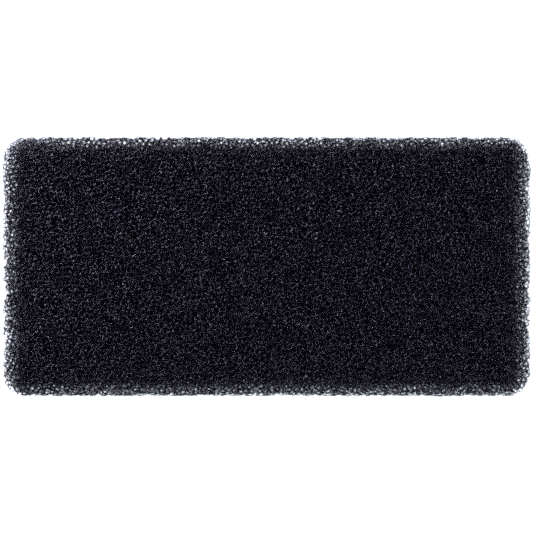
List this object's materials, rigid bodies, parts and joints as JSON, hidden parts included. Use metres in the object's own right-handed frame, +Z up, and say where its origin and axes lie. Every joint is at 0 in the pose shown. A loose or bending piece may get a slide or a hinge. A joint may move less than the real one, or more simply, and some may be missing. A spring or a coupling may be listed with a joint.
{
  "type": "foam air filter element",
  "caption": "Flat rectangular pad of black open-cell reticulated foam with rounded corners, the washable element or pre-cleaner of a small-engine air filter.",
  "frame": {"origin": "centre of the pad's lower face, on the plane it rests on", "axes": "+X along the pad's length, +Y across its width, +Z up through its thickness"},
  "size_m": [0.16, 0.0786, 0.0065],
  "materials": {
    "foam": "matte"
  },
  "bodies": {
    "root": {"foam_element": "foam"}
  },
  "joints": []
}
